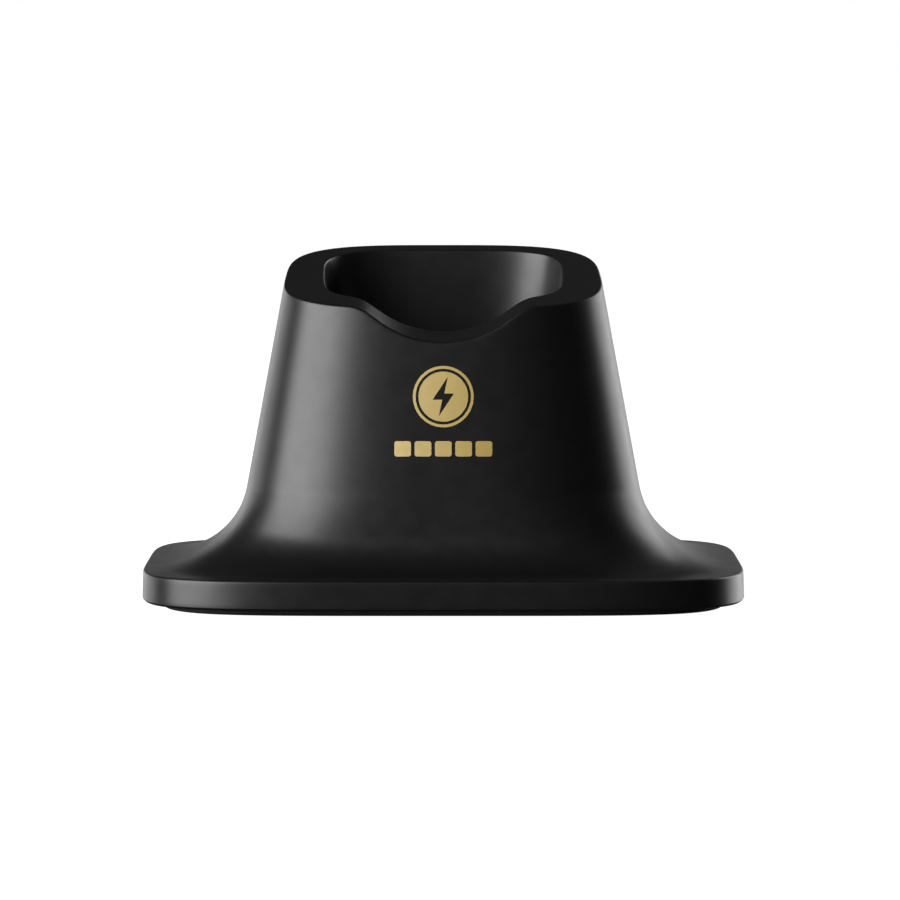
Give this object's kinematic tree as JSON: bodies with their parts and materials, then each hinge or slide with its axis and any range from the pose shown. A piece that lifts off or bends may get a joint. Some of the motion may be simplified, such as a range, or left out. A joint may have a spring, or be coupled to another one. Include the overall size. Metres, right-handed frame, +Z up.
{
  "type": "hair clipper charging stand",
  "caption": "Free-standing charging stand with a wide weighted base, a tapered body, a tilted scooped rim and a deep well with two sprung contacts.",
  "frame": {"origin": "on the surface that the stand rests on, under the centre of its base", "axes": "+Z up, +X to the right as seen from the front, the front with the scoop and the emblem faces -Y"},
  "size_m": [0.1203, 0.0942, 0.07],
  "materials": {
    "housing": "fine satin moulded texture",
    "base_plastic": "spark-eroded matte",
    "foot_rubber": "dull moulded rubber",
    "gold_foil": "hot-stamped satin gold foil",
    "ballast_steel": "zinc-plated sheet",
    "screw_black": "black oxide",
    "screw_steel": "bright zinc plate",
    "carrier_plastic": "fine matte",
    "contact_gold": "polished gold plate",
    "spring_steel": "drawn wire",
    "terminal_brass": "stamped, bare",
    "board_green": "green solder mask",
    "socket_steel": "stamped stainless",
    "socket_plastic": "moulded",
    "chip_black": "moulded epoxy",
    "ferrite": "sintered ferrite",
    "capacitor_can": "drawn can",
    "fuse_yellow": "dipped epoxy",
    "chip_ceramic": "fired ceramic",
    "connector_white": "moulded nylon",
    "lead_red": "extruded insulation",
    "lead_black": "extruded insulation"
  },
  "bodies": {
    "stand": {"upper_housing": "housing", "base_plate": "base_plastic", "foot_mat": "foot_rubber", "front_emblem": "gold_foil", "ballast_plate": "ballast_steel", "housing_screws": "screw_black", "ballast_screws": "screw_steel", "board_screws": "screw_steel", "carrier_screws": "screw_steel", "retainer_screws": "screw_steel", "contact_carrier": "carrier_plastic", "contact_retainer": "carrier_plastic", "left_contact_spring": "spring_steel", "right_contact_spring": "spring_steel", "left_contact_terminal": "terminal_brass", "right_contact_terminal": "terminal_brass", "charging_board": "board_green", "usb_socket_shell": "socket_steel", "usb_socket_core": "socket_plastic", "charge_controller": "chip_black", "power_inductor": "ferrite", "board_capacitors": "capacitor_can", "board_fuse": "fuse_yellow", "board_chips": "chip_ceramic", "board_header": "connector_white", "lead_plug": "connector_white", "positive_lead": "lead_red", "negative_lead": "lead_black"},
    "left_contact": {"left_contact_plunger": "contact_gold"},
    "right_contact": {"right_contact_plunger": "contact_gold"}
  },
  "joints": [
    {"name": "left_contact_press", "type": "slide", "parent": "stand", "child": "left_contact", "axis": [0, 0, -1], "range_m": [0, 0.0015], "stiffness_N_per_m": 400, "springref_m": -0.0015, "deforming": ["left_contact_spring"]},
    {"name": "right_contact_press", "type": "slide", "parent": "stand", "child": "right_contact", "axis": [0, 0, -1], "range_m": [0, 0.0015], "stiffness_N_per_m": 400, "springref_m": -0.0015, "deforming": ["right_contact_spring"]}
  ]
}
